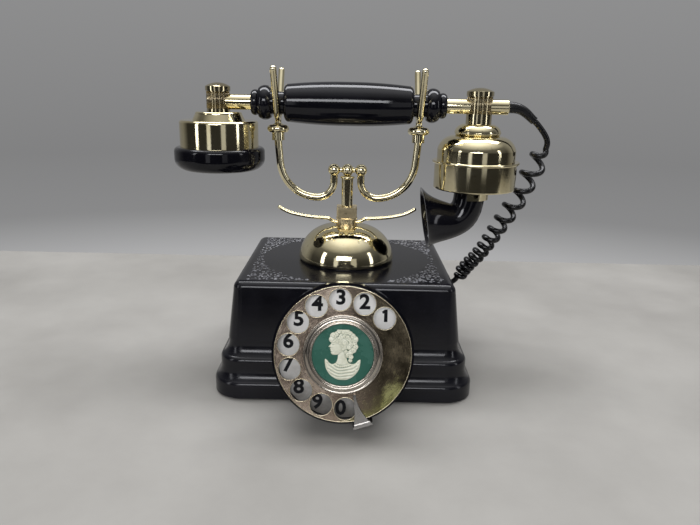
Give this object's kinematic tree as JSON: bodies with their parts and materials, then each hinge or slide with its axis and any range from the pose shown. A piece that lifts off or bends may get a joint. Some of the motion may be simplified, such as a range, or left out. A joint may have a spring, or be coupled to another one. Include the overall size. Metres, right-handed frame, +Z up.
{
  "type": "rotary telephone",
  "caption": "Antique-style rotary telephone: black moulded body, brass cradle and handset fittings, speaking horn, cameo dial centre and curly handset cord.",
  "frame": {"origin": "middle of the moulded base on the table", "axes": "+X to the right seen from the dial side, +Y to the back, +Z up"},
  "size_m": [0.2591, 0.1984, 0.2065],
  "materials": {
    "black_gloss": "glossy black moulding",
    "black_soft": "soft black plastic",
    "rubber": "matte rubber",
    "polished_brass": "polished",
    "satin_brass": "satin",
    "worn_brass": "worn and tarnished",
    "white_enamel": "white enamel",
    "green_enamel": "dark green enamel",
    "cream_relief": "cream relief",
    "steel": "bright",
    "painted_plate": "black paint",
    "copper_winding": "lacquered copper wire",
    "board": "brown laminate",
    "insulator": "brown moulding"
  },
  "bodies": {
    "base": {"body_shell": "black_gloss", "base_plate": "painted_plate", "rubber_feet": "rubber", "base_screws": "steel", "dial_housing": "black_gloss", "housing_screws": "steel", "dome_cover": "polished_brass", "plunger_guide": "satin_brass", "left_trim_arm": "polished_brass", "right_trim_arm": "polished_brass", "cord_gland": "black_soft", "line_inlet": "black_soft", "ringer_frame": "steel", "ringer_coils": "copper_winding", "left_gong": "satin_brass", "right_gong": "satin_brass", "gong_screws": "steel", "circuit_board": "board", "capacitor": "insulator", "induction_coil": "copper_winding", "terminal_block": "insulator", "switch_bracket": "steel", "switch_leaves": "insulator", "hook_spring": "steel", "number_plate": "white_enamel", "dial_frame": "satin_brass", "dial_bridge": "satin_brass", "finger_stop": "steel", "dial_screws": "steel", "pulse_contacts": "insulator", "return_spring": "steel", "curly_cord": "black_soft"},
    "wheel": {"finger_wheel": "worn_brass", "wheel_bezel": "polished_brass", "medallion": "green_enamel", "cameo": "cream_relief", "dial_shaft": "steel", "main_gear": "satin_brass"},
    "governor": {"governor_spindle": "satin_brass"},
    "clapper": {"clapper": "steel"},
    "cradle": {"cradle_post": "polished_brass", "left_arm": "polished_brass", "right_arm": "polished_brass", "left_fork": "polished_brass", "right_fork": "polished_brass", "plunger_clip": "steel"},
    "handset": {"handle_grip": "black_gloss", "handle_tube": "polished_brass", "ear_knob": "polished_brass", "ear_shell": "polished_brass", "ear_cap": "black_gloss", "receiver_capsule": "steel", "mouth_knob": "polished_brass", "mouth_bell": "polished_brass", "mouth_drum": "polished_brass", "transmitter_capsule": "steel", "horn": "black_gloss", "horn_clip": "polished_brass", "cord_boot": "black_soft"}
  },
  "joints": [
    {"name": "dial_spin", "type": "hinge", "parent": "base", "child": "wheel", "pos_m": [0, -0.111, 0.049], "axis": [0, 0.9781, -0.2079], "range_deg": [0, 323], "stiffness_Nm_per_rad": 0.004, "springref_deg": -28.65},
    {"name": "governor_spin", "type": "hinge", "parent": "base", "child": "governor", "pos_m": [-0.01435, -0.11398, 0.03496], "axis": [0, 0.9781, -0.2079], "range_deg": [-1310, 6]},
    {"name": "clapper_swing", "type": "hinge", "parent": "base", "child": "clapper", "pos_m": [0, 0.015, 0.0262], "axis": [0, 0, 1], "range_deg": [-3.5, 3.5]},
    {"name": "cradle_rise", "type": "slide", "parent": "base", "child": "cradle", "axis": [0, 0, 1], "range_m": [0, 0.006], "deforming": ["hook_spring"]},
    {"name": "handset_lift", "type": "slide", "parent": "base", "child": "handset", "axis": [0, 0, 1], "range_m": [0, 0.03], "deforming": ["curly_cord"]}
  ],
  "couplings": [
    {"joint": "governor_spin", "follows": "dial_spin", "ratio": -4},
    {"joint": "cradle_rise", "follows": "handset_lift", "ratio": 0.2}
  ]
}
